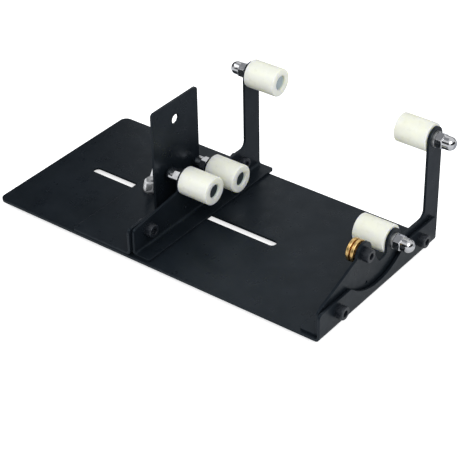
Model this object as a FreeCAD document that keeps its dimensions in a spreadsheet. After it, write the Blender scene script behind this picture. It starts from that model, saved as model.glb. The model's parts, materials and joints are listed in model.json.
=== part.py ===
import FreeCAD, Part
import math
import os
import Sketcher

# Glass bottle cutting jig: a slotted base with an end bracket, and a sliding carriage with a like bracket.

# Driving dimensions in millimetres. X runs along the base towards the cutter, Y to the back, Z up.
SIZES = {
    # base plate, a folded sheet with a slot and an upturned flange at the cutter end
    "base_length": 300.0,
    "base_width": 150.0,
    "base_sheet": 2.0,
    "base_corner": 6.0,
    "bend_radius": 2.0,
    "slot_width": 7.0,
    "slot_rear": 118.0,
    "slot_front": 59.0,
    "flange_height": 22.8,
    "flange_corner": 3.5,
    "notch_radius": 49.5,
    "notch_height": 58.0,
    "notch_y": 2.0,
    # rubber feet
    "foot_height": 5.0,
    "foot_diameter": 16.0,
    "foot_inset": 22.0,
    "foot_taper": 1.0,
    # roller brackets, one shape for both ends, heights from the underside of the bracket's foot
    "bracket_sheet": 2.0,
    "bracket_near_inset": 2.5,
    "bracket_far_reach": 5.5,
    "bracket_foot": 15.5,
    "foot_corner": 2.0,
    "bracket_corner": 4.0,
    "strip_height": 25.3,
    "arm_width": 18.0,
    "arm_fillet": 6.0,
    "arm_axis_height": 87.0,
    "low_axis_y": 21.3,
    "low_axis_height": 27.8,
    "lug_radius": 9.0,
    "dip_near": 2.0,
    "dip_height": 20.5,
    "dip_fillet": 3.5,
    "pilot_diameter": 3.0,
    "pilot_y": 13.5,
    "pilot_height": 11.5,
    # near lug of the end bracket, which carries the scoring wheel
    "end_gap": 1.0,
    "cutter_y": 17.3,
    "cutter_height": 38.4,
    "end_shoulder": 21.0,
    "end_lug_foot": 38.0,
    "end_bolt_y": 52.5,
    "end_bolt_height": 14.0,
    # near lug of the carriage bracket, which carries the third low roller
    "carriage_x": 17.3,
    "carriage_gap": 1.0,
    "near_axis_y": 10.9,
    "near_axis_height": 33.9,
    "carriage_shoulder": 22.0,
    "carriage_lug_foot": 28.0,
    "carriage_bolt_y": 56.0,
    "carriage_bolt_height": 15.0,
    # carriage plate, which slides on the base
    "carriage_plate_sheet": 2.0,
    "carriage_plate_inset": 0.5,
    "carriage_plate_foot": 56.1,
    "carriage_flange_height": 22.5,
    "clamp_setback": 41.7,
    "slide_clearance": 0.1,
    # rollers and their axles
    "roller_diameter": 22.0,
    "roller_length": 25.0,
    "roller_chamfer": 1.0,
    "counterbore_diameter": 11.4,
    "counterbore_depth": 5.0,
    "axle_diameter": 6.0,
    "axle_head_diameter": 10.6,
    "axle_head_height": 3.6,
    "axle_clearance": 0.06,
    "end_play": 0.3,
    # socket screws, spacer washers and thin nuts that hold the brackets
    "screw_diameter": 6.0,
    "screw_head_diameter": 10.0,
    "screw_head_height": 6.0,
    "socket_width": 5.0,
    "socket_depth": 3.0,
    "screw_tail": 0.5,
    "hole_clearance": 0.5,
    "thread_clearance": 0.1,
    "thin_nut_width": 10.0,
    "thin_nut_height": 3.2,
    "nut_chamfer_angle": 30.0,
    "spacer_diameter": 12.0,
    # acorn nuts and washers on the axles
    "nut_width": 10.0,
    "nut_height": 6.0,
    "washer_diameter": 12.0,
    "washer_thickness": 1.6,
    "acorn_height": 15.0,
    "acorn_dome_diameter": 9.6,
    "acorn_bore_depth": 9.0,
    # scoring wheel, its screw and the open ring that keeps it on
    "wheel_diameter": 17.5,
    "wheel_width": 6.4,
    "wheel_rim_width": 2.5,
    "wheel_groove_depth": 1.6,
    "wheel_chamfer": 0.8,
    "wheel_bore_clearance": 0.06,
    "pivot_diameter": 6.0,
    "pivot_head_diameter": 10.0,
    "pivot_head_height": 6.0,
    "pivot_socket_width": 5.0,
    "pivot_socket_depth": 3.0,
    "pivot_washer_diameter": 12.0,
    "pivot_washer_thickness": 1.6,
    "ring_diameter": 10.5,
    "ring_thickness": 1.0,
    "ring_groove_depth": 0.7,
    "ring_play": 0.1,
    "ring_mouth": 4.2,
    "pivot_tail": 0.8,
    # stop bracket
    "stop_sheet": 2.0,
    "stop_width": 53.0,
    "stop_height": 87.2,
    "stop_corner": 3.0,
    "stop_foot_clearance": 0.7,
    "stop_foot_corner": 4.0,
    "stop_setback": 25.5,
    "stop_shift": 2.5,
    "stop_hole_diameter": 8.0,
    "stop_hole_drop": 16.0,
    # clamp bolt and wing nut
    "clamp_diameter": 6.0,
    "clamp_head_diameter": 13.0,
    "clamp_head_height": 3.2,
    "clamp_neck_width": 6.0,
    "clamp_neck_height": 1.6,
    "clamp_tail": 1.5,
    "clamp_washer_diameter": 12.0,
    "clamp_washer_thickness": 1.6,
    "wing_hub_diameter": 12.0,
    "wing_hub_top_diameter": 9.5,
    "wing_hub_height": 7.5,
    "wing_span": 34.0,
    "wing_rise": 13.0,
    "wing_tip_radius": 3.6,
    "wing_thickness": 2.6,
    "wing_root_height": 2.0,
    "wing_turn": 116.0,
}

doc = FreeCAD.newDocument("bottle_cutter")


class Size:
    """A length with its value and the sheet formula that gives it."""

    def __init__(self, value, formula):
        self.value = value
        self.formula = formula

    def __add__(self, other):
        other = as_size(other)
        return Size(self.value + other.value, "(%s + %s)" % (self.formula, other.formula))

    def __sub__(self, other):
        other = as_size(other)
        return Size(self.value - other.value, "(%s - %s)" % (self.formula, other.formula))

    def __mul__(self, other):
        other = as_size(other)
        return Size(self.value * other.value, "(%s * %s)" % (self.formula, other.formula))

    def __truediv__(self, other):
        other = as_size(other)
        return Size(self.value / other.value, "(%s / %s)" % (self.formula, other.formula))

    def __neg__(self):
        return Size(-self.value, "(0 - %s)" % self.formula)


def as_size(number):
    """Wrap a plain number as a Size."""
    if isinstance(number, Size):
        return number
    return Size(float(number), "(%s)" % float(number))


def root(size):
    return Size(math.sqrt(size.value), "sqrt(%s)" % size.formula)


def tangent(angle):
    return Size(math.tan(math.radians(angle.value)), "tan(%s)" % angle.formula)


class Sheet:
    """The driving dimensions, each read as an attribute."""

    def __init__(self, sizes):
        table = doc.addObject("Spreadsheet::Sheet", "Sizes")
        for row, (name, value) in enumerate(sizes.items(), start=1):
            table.set("A%d" % row, name)
            table.set("B%d" % row, str(value))
            table.setAlias("B%d" % row, name)
            setattr(self, name, Size(value, "Sizes." + name))


s = Sheet(SIZES)
doc.recompute()
ZERO = as_size(0.0)
FULL_TURN = 360.0
HALF_TURN = 180.0

# Shape ratios: hexagon corners by width, dome round and bolt head flat by radius, head edge by height
CORNER_REACH = 0.6
DOME_ROUND = 0.97
HEAD_FLAT = 0.6
HEAD_EDGE_SHARE = 9.0
pieces = []


# Sketch and feature helpers

def new_body(name):
    return doc.addObject("PartDesign::Body", name)


def sketch_on(body, role, offset=ZERO):
    """Add a sketch on one of the body's own origin planes, moved along the plane's normal."""
    plane = next(item for item in body.Origin.OriginFeatures if item.Role == role)
    sketch = body.newObject("Sketcher::SketchObject", body.Name + "_sketch")
    sketch.AttachmentSupport = [(plane, "")]
    sketch.MapMode = "FlatFace"
    sketch.AttachmentOffset = FreeCAD.Placement(FreeCAD.Vector(0, 0, offset.value), FreeCAD.Rotation())
    sketch.setExpression("AttachmentOffset.Base.z", offset.formula)
    return sketch


def drive(sketch, constraint, size):
    """Add a dimension to a sketch and bind it to the sheet."""
    index = sketch.addConstraint(constraint)
    sketch.setExpression("Constraints[%d]" % index, size.formula)


def pin_point(sketch, geometry, position, x, y):
    """Place a sketch point by its two distances from the sketch origin."""
    drive(sketch, Sketcher.Constraint("DistanceX", -1, 1, geometry, position, x.value), x)
    drive(sketch, Sketcher.Constraint("DistanceY", -1, 1, geometry, position, y.value), y)


def add_circle(sketch, x, y, diameter):
    """Draw a circle placed and sized from the sheet."""
    centre = FreeCAD.Vector(x.value, y.value, 0)
    circle = Part.Circle(centre, FreeCAD.Vector(0, 0, 1), diameter.value / 2)
    index = sketch.addGeometry(circle, False)
    drive(sketch, Sketcher.Constraint("Diameter", index, diameter.value), diameter)
    pin_point(sketch, index, 3, x, y)


def corner_arc(before, corner, after, radius):
    """Return the tangent arc at a corner, its two ends along the outline and whether it turns left."""
    back = (before - corner).normalize()
    ahead = (after - corner).normalize()
    half_angle = back.getAngle(ahead) / 2
    start = corner + back * (radius / math.tan(half_angle))
    end = corner + ahead * (radius / math.tan(half_angle))
    bisector = (back + ahead).normalize()
    centre = corner + bisector * (radius / math.sin(half_angle))
    turns_left = ahead.cross(back).z > 0
    first, last = (start, end) if turns_left else (end, start)
    begin = math.atan2(first.y - centre.y, first.x - centre.x)
    finish = math.atan2(last.y - centre.y, last.x - centre.x)
    circle = Part.Circle(centre, FreeCAD.Vector(0, 0, 1), radius)
    return Part.ArcOfCircle(circle, begin, finish), start, end, turns_left


def add_outline(sketch, corners):
    """Draw a closed outline through (x, y) or (x, y, radius) corners, each radius a tangent arc."""
    points = [FreeCAD.Vector(corner[0].value, corner[1].value, 0) for corner in corners]
    count = len(points)
    starts = list(points)
    ends = list(points)
    arcs = {}
    for i, corner in enumerate(corners):
        if len(corner) == 3:
            arc, ends[i], starts[i], left = corner_arc(points[i - 1], points[i], points[(i + 1) % count],
                                                       corner[2].value)
            arcs[i] = (sketch.addGeometry(arc, False), left)
    lines = []
    for i in range(count):
        lines.append(sketch.addGeometry(Part.LineSegment(starts[i], ends[(i + 1) % count]), False))
    for i, corner in enumerate(corners):
        before = lines[i - 1]
        after = lines[i]
        if i not in arcs:
            sketch.addConstraint(Sketcher.Constraint("Coincident", before, 2, after, 1))
            pin_point(sketch, after, 1, corner[0], corner[1])
            continue
        arc, left = arcs[i]
        mark = sketch.addGeometry(Part.Point(points[i]), True)
        pin_point(sketch, mark, 1, corner[0], corner[1])
        sketch.addConstraint(Sketcher.Constraint("PointOnObject", mark, 1, before))
        sketch.addConstraint(Sketcher.Constraint("PointOnObject", mark, 1, after))
        first, last = (1, 2) if left else (2, 1)
        sketch.addConstraint(Sketcher.Constraint("Tangent", before, 2, arc, first))
        sketch.addConstraint(Sketcher.Constraint("Tangent", arc, last, after, 1))
        drive(sketch, Sketcher.Constraint("Radius", arc, corner[2].value), corner[2])


def pad(body, sketch, length, backwards=False, both_ways=False):
    """Thicken a sketch by a driven length."""
    feature = body.newObject("PartDesign::Pad", body.Name + "_pad")
    feature.Profile = sketch
    feature.Length = length.value
    feature.setExpression("Length", length.formula)
    feature.Reversed = backwards
    if both_ways:
        feature.SideType = "Symmetric"
    sketch.Visibility = False
    return feature


def cut_through(body, sketch):
    """Cut a sketch through the whole body, both ways."""
    feature = body.newObject("PartDesign::Pocket", body.Name + "_pocket")
    feature.Profile = sketch
    feature.Type = "ThroughAll"
    feature.SideType = "Symmetric"
    return feature


def cut_blind(body, sketch, depth, backwards=False):
    """Cut a sketch to a driven depth."""
    feature = body.newObject("PartDesign::Pocket", body.Name + "_pocket")
    feature.Profile = sketch
    feature.Length = depth.value
    feature.setExpression("Length", depth.formula)
    feature.Reversed = backwards
    return feature


def turn(body, sketch, axis, kind="PartDesign::Revolution"):
    """Revolve a sketch once round one of its own axes, adding or cutting."""
    feature = body.newObject(kind, body.Name + "_turned")
    feature.Profile = sketch
    feature.ReferenceAxis = (sketch, [axis])
    feature.Angle = FULL_TURN
    return feature


def place(item, x, y, z, yaw=ZERO):
    """Place a piece from driven distances, turned about the vertical."""
    spot = FreeCAD.Vector(x.value, y.value, z.value)
    item.Placement = FreeCAD.Placement(spot, FreeCAD.Rotation(FreeCAD.Vector(0, 0, 1), yaw.value))
    item.setExpression("Placement.Base.x", x.formula)
    item.setExpression("Placement.Base.y", y.formula)
    item.setExpression("Placement.Base.z", z.formula)
    if yaw is not ZERO:
        item.setExpression("Placement.Rotation.Angle", yaw.formula)
    return item


def keep(item, label):
    """Mark a finished piece for export under its label."""
    item.Label = label
    pieces.append(item)
    return item


def keep_group(items, label):
    """Group like pieces in one node as separate solids."""
    group = doc.addObject("Part::Compound", label)
    group.Links = items
    return keep(group, label)


# Places that several pieces share

base_top = s.foot_height + s.base_sheet
carriage_floor = base_top + s.slide_clearance
flange_outer = s.base_length / 2
flange_inner = flange_outer - s.base_sheet
end_wall = flange_inner - s.end_gap
carriage_wall = -s.carriage_x
plate_wall = carriage_wall - s.carriage_gap
clamp_x = plate_wall - s.clamp_setback
half_base = s.base_width / 2
bracket_near = half_base - s.bracket_near_inset
bracket_far = half_base + s.bracket_far_reach
arm_axis_y = bracket_far - s.arm_width / 2
stop_floor = carriage_floor + s.carriage_plate_sheet
stop_back = clamp_x + s.stop_setback - s.stop_sheet
screw_hole = s.screw_diameter + s.hole_clearance
axle_hole = s.axle_diameter + s.hole_clearance
clamp_hole = s.clamp_diameter + s.hole_clearance


# Folded sheet pieces

def add_fold(body, sheet, reach, near, far, direction):
    """Add a foot and the root of its upright as one folded strip, and return the root's height."""
    outside = s.bend_radius + sheet
    root_height = outside + sheet
    wall = sheet * direction
    sketch = sketch_on(body, "XZ_Plane", -far)
    add_outline(sketch, [
        (ZERO, root_height),
        (ZERO, ZERO, outside),
        (reach * direction, ZERO),
        (reach * direction, sheet),
        (wall, sheet, s.bend_radius),
        (wall, root_height),
    ])
    pad(body, sketch, far - near)
    return root_height


def round_foot_corners(body, reach, near, far, sheet, radius, direction):
    """Round the two free corners of a foot in plan."""
    doc.recompute()
    base = body.Tip
    tip = reach.value * direction
    names = []
    for number, edge in enumerate(base.Shape.Edges, start=1):
        middle = edge.CenterOfMass
        at_tip = abs(middle.x - tip) < 1e-6
        at_end = min(abs(middle.y - near.value), abs(middle.y - far.value)) < 1e-6
        if at_tip and at_end and abs(edge.Length - sheet.value) < 1e-6:
            names.append("Edge%d" % number)
    fillet = body.newObject("PartDesign::Fillet", body.Name + "_foot_corners")
    fillet.Base = (base, names)
    fillet.Radius = radius.value
    fillet.setExpression("Radius", radius.formula)


def add_flange(body, at, near, far, floor, top, sheet):
    """Add an upright flange with rounded top corners, its outer face at a driven X."""
    flange = sketch_on(body, "YZ_Plane", at)
    add_outline(flange, [
        (near, floor),
        (far, floor),
        (far, top, s.flange_corner),
        (near, top, s.flange_corner),
    ])
    pad(body, flange, sheet, backwards=True)


def cut_flange(body, at, notch_height, bolt_y, bolt_height, depth):
    """Cut the round notch and the two screw holes of a flange."""
    notch = sketch_on(body, "YZ_Plane", at)
    add_circle(notch, -s.notch_y, notch_height, s.notch_radius * 2)
    for side in (-1, 1):
        add_circle(notch, bolt_y * side, bolt_height, screw_hole)
    cut_blind(body, notch, depth)


def base_plate():
    """Base sheet with its slot, screw holes and notched flange."""
    body = new_body("base_plate_body")
    half_length = s.base_length / 2
    half_width = s.base_width / 2
    outside = s.bend_radius + s.base_sheet
    root_height = outside + s.base_sheet
    flat_end = half_length - root_height
    plan = sketch_on(body, "XY_Plane")
    add_outline(plan, [
        (-half_length, -half_width, s.base_corner),
        (flat_end, -half_width),
        (flat_end, half_width),
        (-half_length, half_width, s.base_corner),
    ])
    pad(body, plan, s.base_sheet)
    section = sketch_on(body, "XZ_Plane", -half_width)
    add_outline(section, [
        (flat_end, ZERO),
        (half_length, ZERO, outside),
        (half_length, root_height),
        (half_length - s.base_sheet, root_height),
        (half_length - s.base_sheet, s.base_sheet, s.bend_radius),
        (flat_end, s.base_sheet),
    ])
    pad(body, section, s.base_width)
    add_flange(body, half_length, -half_width, half_width, root_height, s.flange_height, s.base_sheet)
    cut_flange(body, half_length, s.notch_height, s.end_bolt_y, s.end_bolt_height, outside)
    reach = s.slot_width / 2
    rear = -(s.slot_rear - reach)
    front = s.slot_front - reach
    slot = sketch_on(body, "XY_Plane")
    add_outline(slot, [(rear, -reach), (front, -reach), (front, reach), (rear, reach)])
    cut_through(body, slot)
    slot_ends = sketch_on(body, "XY_Plane")
    add_circle(slot_ends, rear, ZERO, s.slot_width)
    add_circle(slot_ends, front, ZERO, s.slot_width)
    cut_through(body, slot_ends)
    return keep(place(body, ZERO, ZERO, s.foot_height), "base_plate")


def roller_bracket(name, direction, near_axis_y, near_axis_z, near_hole,
                   shoulder, lug_foot, bolt_y, bolt_z):
    """Folded bracket with a low lug, a near lug and a tall arm, each with a hole for its axle."""
    body = new_body(name + "_body")
    near = -bracket_near
    far = bracket_far
    root_height = add_fold(body, s.bracket_sheet, s.bracket_foot, near, far, direction)
    lug = s.lug_radius
    wall = sketch_on(body, "YZ_Plane")
    add_outline(wall, [
        (near, root_height),
        (far, root_height),
        (far, s.arm_axis_height),
        (far - s.arm_width, s.arm_axis_height),
        (far - s.arm_width, s.strip_height, s.arm_fillet),
        (s.low_axis_y, s.strip_height),
        (s.low_axis_y, s.low_axis_height),
        (s.low_axis_y - lug, s.low_axis_height),
        (s.low_axis_y - lug, s.dip_height, s.dip_fillet),
        (s.dip_near, s.dip_height, s.dip_fillet),
        (near_axis_y + lug, near_axis_z),
        (near_axis_y - lug, near_axis_z),
        (near_axis_y - lug, lug_foot),
        (near, shoulder, s.bracket_corner),
    ])
    pad(body, wall, s.bracket_sheet, backwards=direction < 0)
    tops = sketch_on(body, "YZ_Plane")
    add_circle(tops, arm_axis_y, s.arm_axis_height, s.arm_width)
    pad(body, tops, s.bracket_sheet, backwards=direction < 0)
    for y, z in ((s.low_axis_y, s.low_axis_height), (near_axis_y, near_axis_z)):
        disc = sketch_on(body, "YZ_Plane")
        add_circle(disc, y, z, lug * 2)
        pad(body, disc, s.bracket_sheet, backwards=direction < 0)
    holes = sketch_on(body, "YZ_Plane")
    add_circle(holes, arm_axis_y, s.arm_axis_height, axle_hole)
    add_circle(holes, s.low_axis_y, s.low_axis_height, axle_hole)
    add_circle(holes, near_axis_y, near_axis_z, near_hole)
    add_circle(holes, -s.pilot_y, s.pilot_height, s.pilot_diameter)
    for side in (-1, 1):
        add_circle(holes, bolt_y * side, bolt_z, screw_hole)
    cut_through(body, holes)
    round_foot_corners(body, s.bracket_foot, near, far, s.bracket_sheet, s.foot_corner, direction)
    return body


def carriage_plate():
    """Sliding plate with a long foot under the clamp and a notched flange at its front."""
    body = new_body("carriage_plate_body")
    far = half_base - s.carriage_plate_inset
    near = -far
    root_height = add_fold(body, s.carriage_plate_sheet, s.carriage_plate_foot, near, far, -1)
    add_flange(body, ZERO, near, far, root_height, s.carriage_flange_height, s.carriage_plate_sheet)
    cut_flange(body, ZERO, s.notch_height - s.base_sheet, s.carriage_bolt_y, s.carriage_bolt_height,
               s.carriage_plate_sheet + s.bend_radius)
    hole = sketch_on(body, "XY_Plane")
    add_circle(hole, -s.clamp_setback, ZERO, clamp_hole)
    cut_through(body, hole)
    round_foot_corners(body, s.carriage_plate_foot, near, far, s.carriage_plate_sheet, s.foot_corner, -1)
    return keep(place(body, plate_wall, ZERO, carriage_floor), "carriage_plate")


def stop_bracket():
    """Upright stop plate for the bottle's base, with a short foot welded to the carriage plate."""
    body = new_body("stop_bracket_body")
    far = s.stop_shift + s.stop_width / 2
    near = s.stop_shift - s.stop_width / 2
    foot = plate_wall - s.carriage_plate_sheet - s.bend_radius - s.stop_foot_clearance - stop_back
    root_height = add_fold(body, s.stop_sheet, foot, near, far, 1)
    face = sketch_on(body, "YZ_Plane")
    add_outline(face, [
        (near, root_height),
        (far, root_height),
        (far, s.stop_height, s.stop_corner),
        (near, s.stop_height, s.stop_corner),
    ])
    pad(body, face, s.stop_sheet)
    hole = sketch_on(body, "YZ_Plane")
    add_circle(hole, s.stop_shift, s.stop_height - s.stop_hole_drop, s.stop_hole_diameter)
    cut_through(body, hole)
    round_foot_corners(body, foot, near, far, s.stop_sheet, s.stop_foot_corner, 1)
    return keep(place(body, stop_back, ZERO, stop_floor), "stop_bracket")


# Turned and hexagonal pieces, drawn along their own X axis

def washer(name, bore, diameter, thickness):
    body = new_body(name)
    sketch = sketch_on(body, "YZ_Plane")
    add_circle(sketch, ZERO, ZERO, diameter)
    add_circle(sketch, ZERO, ZERO, bore)
    pad(body, sketch, thickness)
    return body


def add_hexagon(sketch, width):
    """Draw a hexagon across the sketch origin, with flats left and right."""
    side = width / root(as_size(3.0))
    half = width / 2
    add_outline(sketch, [
        (half, -side / 2),
        (half, side / 2),
        (ZERO, side),
        (-half, side / 2),
        (-half, -side / 2),
        (ZERO, -side),
    ])


def chamfer_hexagon(body, width, at, direction):
    """Turn the corners of a hexagon down to a cone at one end."""
    rim = width / 2
    beyond = width * CORNER_REACH
    drop = (beyond - rim) * tangent(s.nut_chamfer_angle) * direction
    sketch = sketch_on(body, "XY_Plane")
    add_outline(sketch, [(at, rim), (at, beyond), (at - drop, beyond)])
    turn(body, sketch, "H_Axis", "PartDesign::Groove")


def hex_nut(name, bore, width, height):
    """Plain nut with its corners turned down at both ends."""
    body = new_body(name)
    sketch = sketch_on(body, "YZ_Plane")
    add_hexagon(sketch, width)
    add_circle(sketch, ZERO, ZERO, bore)
    pad(body, sketch, height)
    chamfer_hexagon(body, width, height, 1)
    chamfer_hexagon(body, width, ZERO, -1)
    return body


def acorn_nut(name):
    """Domed nut with a blind bore, its seat at the origin."""
    body = new_body(name)
    hexagon = sketch_on(body, "YZ_Plane")
    add_hexagon(hexagon, s.nut_width)
    pad(body, hexagon, s.nut_height)
    chamfer_hexagon(body, s.nut_width, s.nut_height, 1)
    chamfer_hexagon(body, s.nut_width, ZERO, -1)
    radius = s.acorn_dome_diameter / 2
    dome = sketch_on(body, "XY_Plane")
    add_outline(dome, [
        (s.nut_height / 2, ZERO),
        (s.acorn_height, ZERO),
        (s.acorn_height, radius, radius * DOME_ROUND),
        (s.nut_height / 2, radius),
    ])
    turn(body, dome, "H_Axis")
    bore = sketch_on(body, "YZ_Plane")
    add_circle(bore, ZERO, ZERO, s.axle_diameter + s.thread_clearance)
    cut_blind(body, bore, s.acorn_bore_depth, backwards=True)
    return body


def socket_screw(name, diameter, head_diameter, head_height, socket_width, socket_depth, length):
    """Socket head screw with its head seat at the origin and its shank along +X."""
    body = new_body(name)
    profile = sketch_on(body, "XY_Plane")
    edge = head_height / HEAD_EDGE_SHARE
    add_outline(profile, [
        (-head_height, ZERO),
        (length, ZERO),
        (length, diameter / 2),
        (ZERO, diameter / 2),
        (ZERO, head_diameter / 2),
        (-head_height, head_diameter / 2, edge),
    ])
    turn(body, profile, "H_Axis")
    socket = sketch_on(body, "YZ_Plane", -head_height)
    add_hexagon(socket, socket_width)
    cut_blind(body, socket, socket_depth, backwards=True)
    return body


# Roller stations, measured along X from the bracket face on the roller's side

roller_start = s.washer_thickness + s.end_play
roller_end = roller_start + s.roller_length
counterbore_floor = roller_end - s.counterbore_depth
axle_seat = counterbore_floor + s.end_play
nut_seat = -(s.bracket_sheet + s.washer_thickness)
axle_end = nut_seat - s.acorn_bore_depth + s.end_play


def roller(name):
    """Plastic roller with a running bore and a counterbore that hides the axle's head."""
    body = new_body(name)
    outer = s.roller_diameter / 2
    bore = s.axle_diameter / 2 + s.axle_clearance
    profile = sketch_on(body, "XY_Plane")
    add_outline(profile, [
        (roller_start, bore),
        (counterbore_floor, bore),
        (counterbore_floor, s.counterbore_diameter / 2),
        (roller_end, s.counterbore_diameter / 2),
        (roller_end, outer, s.roller_chamfer),
        (roller_start, outer, s.roller_chamfer),
    ])
    turn(body, profile, "H_Axis")
    return body


def axle(name):
    """Headed axle through roller, washers and bracket into the acorn nut."""
    body = new_body(name)
    shank = s.axle_diameter / 2
    profile = sketch_on(body, "XY_Plane")
    add_outline(profile, [
        (axle_end, ZERO),
        (axle_seat + s.axle_head_height, ZERO),
        (axle_seat + s.axle_head_height, s.axle_head_diameter / 2),
        (axle_seat, s.axle_head_diameter / 2),
        (axle_seat, shank),
        (axle_end, shank),
    ])
    turn(body, profile, "H_Axis")
    return body


def roller_station(prefix, spots, face, floor, direction):
    """Put a roller, axle, washers and acorn nut at each spot of one bracket."""
    yaw = as_size(HALF_TURN) if direction < 0 else ZERO
    axles = []
    thrust_washers = []
    nut_washers = []
    acorns = []
    for label, y, z in spots:
        height = floor + z
        keep(place(roller(label + "_body"), face, y, height, yaw), label)
        axles.append(place(axle(label + "_axle"), face, y, height, yaw))
        bore = s.axle_diameter + s.thread_clearance
        thrust = washer(label + "_thrust_washer", bore, s.washer_diameter, s.washer_thickness)
        thrust_washers.append(place(thrust, face, y, height, yaw))
        behind = face + nut_seat * direction
        backing = washer(label + "_nut_washer", bore, s.washer_diameter, s.washer_thickness)
        nut_washers.append(place(backing, behind, y, height, yaw))
        flipped = ZERO if direction < 0 else as_size(HALF_TURN)
        acorns.append(place(acorn_nut(label + "_acorn"), behind, y, height, flipped))
    keep_group(axles, prefix + "_axles")
    keep_group(thrust_washers, prefix + "_thrust_washers")
    keep_group(nut_washers, prefix + "_nut_washers")
    keep_group(acorns, prefix + "_acorn_nuts")


def bolted_joint(prefix, face, first_sheet, gap, second_sheet, bolt_y, height):
    """Screw two upright sheets together at both ends, heads towards +X and a spacer washer between."""
    yaw = as_size(HALF_TURN)
    grip = first_sheet + gap + second_sheet
    length = grip + s.thin_nut_height + s.screw_tail
    bore = s.screw_diameter + s.thread_clearance
    screws = []
    spacers = []
    nuts = []
    for side, where in ((-1, "near"), (1, "far")):
        y = bolt_y * side
        screw = socket_screw("%s_%s_screw" % (prefix, where), s.screw_diameter, s.screw_head_diameter,
                             s.screw_head_height, s.socket_width, s.socket_depth, length)
        screws.append(place(screw, face, y, height, yaw))
        spacer = washer("%s_%s_spacer" % (prefix, where), bore, s.spacer_diameter, gap)
        spacers.append(place(spacer, face - first_sheet, y, height, yaw))
        nut = hex_nut("%s_%s_nut" % (prefix, where), bore, s.thin_nut_width, s.thin_nut_height)
        nuts.append(place(nut, face - grip, y, height, yaw))
    keep_group(screws, prefix + "_screws")
    keep_group(spacers, prefix + "_spacers")
    keep_group(nuts, prefix + "_nuts")


def rubber_feet():
    """Four tapered pads stuck under the corners of the base."""
    feet = []
    for x_side in (-1, 1):
        for y_side in (-1, 1):
            body = new_body("foot_body")
            profile = sketch_on(body, "XZ_Plane")
            radius = s.foot_diameter / 2
            add_outline(profile, [
                (ZERO, ZERO),
                (radius - s.foot_taper, ZERO),
                (radius, s.foot_height),
                (ZERO, s.foot_height),
            ])
            turn(body, profile, "V_Axis")
            x = (s.base_length / 2 - s.foot_inset) * x_side
            y = (s.base_width / 2 - s.foot_inset) * y_side
            feet.append(place(body, x, y, ZERO))
    keep_group(feet, "rubber_feet")


# Scoring wheel station on the end bracket, measured along X from the bracket's inner face

def scoring_wheel():
    """Turned wheel with two crowned rims and a groove between them."""
    body = new_body("scoring_wheel_body")
    outer = s.wheel_diameter / 2
    bore = s.pivot_diameter / 2 + s.wheel_bore_clearance
    start = s.pivot_washer_thickness + s.end_play
    end = start + s.wheel_width
    profile = sketch_on(body, "XY_Plane")
    add_outline(profile, [
        (start, bore),
        (end, bore),
        (end, outer, s.wheel_chamfer),
        (end - s.wheel_rim_width, outer, s.wheel_chamfer),
        (start + s.wheel_width / 2, outer - s.wheel_groove_depth),
        (start + s.wheel_rim_width, outer, s.wheel_chamfer),
        (start, outer, s.wheel_chamfer),
    ])
    turn(body, profile, "H_Axis")
    return body


def retaining_ring(name, bore):
    """Open spring ring that snaps into the groove of the cutter's screw."""
    body = washer(name, bore, s.ring_diameter, s.ring_thickness)
    mouth = sketch_on(body, "YZ_Plane")
    half = s.ring_mouth / 2
    add_outline(mouth, [
        (-half, ZERO),
        (half, ZERO),
        (half, s.ring_diameter),
        (-half, s.ring_diameter),
    ])
    cut_through(body, mouth)
    return body


def cutter_station():
    """Scoring wheel on its screw, kept on the near lug of the end bracket by a retaining ring."""
    inner_face = end_wall - s.bracket_sheet
    y = -s.cutter_y
    z = base_top + s.cutter_height
    yaw = as_size(HALF_TURN)
    keep(place(scoring_wheel(), inner_face, y, z, yaw), "scoring_wheel")
    bore = s.pivot_diameter + s.thread_clearance
    ring_at = s.pivot_washer_thickness + s.end_play * 2 + s.wheel_width
    groove_start = s.bracket_sheet + ring_at
    groove_end = groove_start + s.ring_thickness + s.ring_play
    length = groove_end + s.pivot_tail
    screw = socket_screw("cutter_screw_body", s.pivot_diameter, s.pivot_head_diameter, s.pivot_head_height,
                         s.pivot_socket_width, s.pivot_socket_depth, length)
    shank = s.pivot_diameter / 2
    groove_root = shank - s.ring_groove_depth
    groove = sketch_on(screw, "XY_Plane")
    add_outline(groove, [
        (groove_start, groove_root),
        (groove_end, groove_root),
        (groove_end, s.pivot_diameter),
        (groove_start, s.pivot_diameter),
    ])
    turn(screw, groove, "H_Axis", "PartDesign::Groove")
    keep(place(screw, end_wall, y, z, yaw), "cutter_screw")
    spacer = washer("cutter_washer_body", bore, s.pivot_washer_diameter, s.pivot_washer_thickness)
    keep(place(spacer, inner_face, y, z, yaw), "cutter_washer")
    ring = retaining_ring("cutter_ring_body", groove_root * 2 + s.thread_clearance)
    keep(place(ring, inner_face - ring_at, y, z, yaw), "cutter_ring")


# Clamp, drawn along its own Z axis

def clamp_bolt():
    """Round headed bolt with a square neck that runs in the slot."""
    body = new_body("clamp_bolt_body")
    grip = s.base_sheet + s.slide_clearance * 2 + s.carriage_plate_sheet
    top = grip + s.clamp_washer_thickness + s.wing_hub_height + s.clamp_tail
    profile = sketch_on(body, "XZ_Plane")
    head = s.clamp_head_diameter / 2
    shank = s.clamp_diameter / 2
    add_outline(profile, [
        (ZERO, -s.clamp_head_height),
        (head * HEAD_FLAT, -s.clamp_head_height),
        (head, ZERO),
        (shank, ZERO),
        (shank, top),
        (ZERO, top),
    ])
    turn(body, profile, "V_Axis")
    neck = sketch_on(body, "XY_Plane")
    half = s.clamp_neck_width / 2
    add_outline(neck, [(-half, -half), (half, -half), (half, half), (-half, half)])
    pad(body, neck, s.clamp_neck_height)
    return keep(place(body, clamp_x, ZERO, s.foot_height - s.slide_clearance), "clamp_bolt")


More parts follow.
